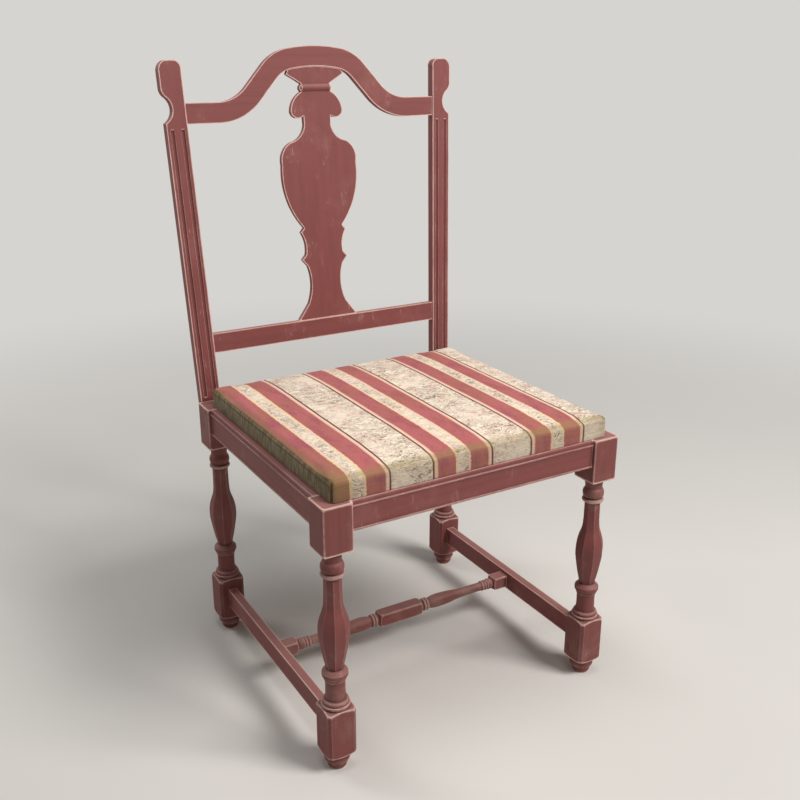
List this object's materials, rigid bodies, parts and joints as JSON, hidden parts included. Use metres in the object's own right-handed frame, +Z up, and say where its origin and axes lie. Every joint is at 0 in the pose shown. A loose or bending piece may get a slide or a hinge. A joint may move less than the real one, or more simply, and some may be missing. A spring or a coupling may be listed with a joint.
{
  "type": "wooden side chair",
  "caption": "Wooden side chair with turned and faceted legs, fluted back posts, a shaped splat under a humped crest rail, and a striped padded seat that lifts off.",
  "frame": {"origin": "middle of the chair's bounding box, on the floor", "axes": "+Z up, -Y towards the front of the seat, +X to the right as seen from the front"},
  "size_m": [0.5172, 0.5132, 0.9682],
  "materials": {
    "painted_wood": "dull rose paint, worn at the edges",
    "bare_wood": "planed, unfinished",
    "striped_cloth": "woven stripes, soiled",
    "padding": "soft filling"
  },
  "bodies": {
    "frame": {"back_post_left": "painted_wood", "back_post_right": "painted_wood", "corner_block_front_left": "bare_wood", "corner_block_front_right": "bare_wood", "corner_block_rear_left": "bare_wood", "corner_block_rear_right": "bare_wood", "crest_rail": "painted_wood", "cross_rail": "painted_wood", "front_leg_left": "painted_wood", "front_leg_right": "painted_wood", "front_seat_rail": "painted_wood", "left_seat_rail": "painted_wood", "left_side_stretcher": "painted_wood", "medial_stretcher": "painted_wood", "rear_leg_left": "painted_wood", "rear_leg_right": "painted_wood", "rear_seat_rail": "painted_wood", "right_seat_rail": "painted_wood", "right_side_stretcher": "painted_wood", "splat": "painted_wood"},
    "loose_seat": {"left_seat_batten": "bare_wood", "right_seat_batten": "bare_wood", "seat_board": "bare_wood", "seat_cover": "striped_cloth", "seat_pad": "padding"}
  },
  "joints": [
    {"name": "seat_lift", "type": "slide", "parent": "frame", "child": "loose_seat", "axis": [0, 0, 1], "range_m": [0, 0.15]}
  ]
}
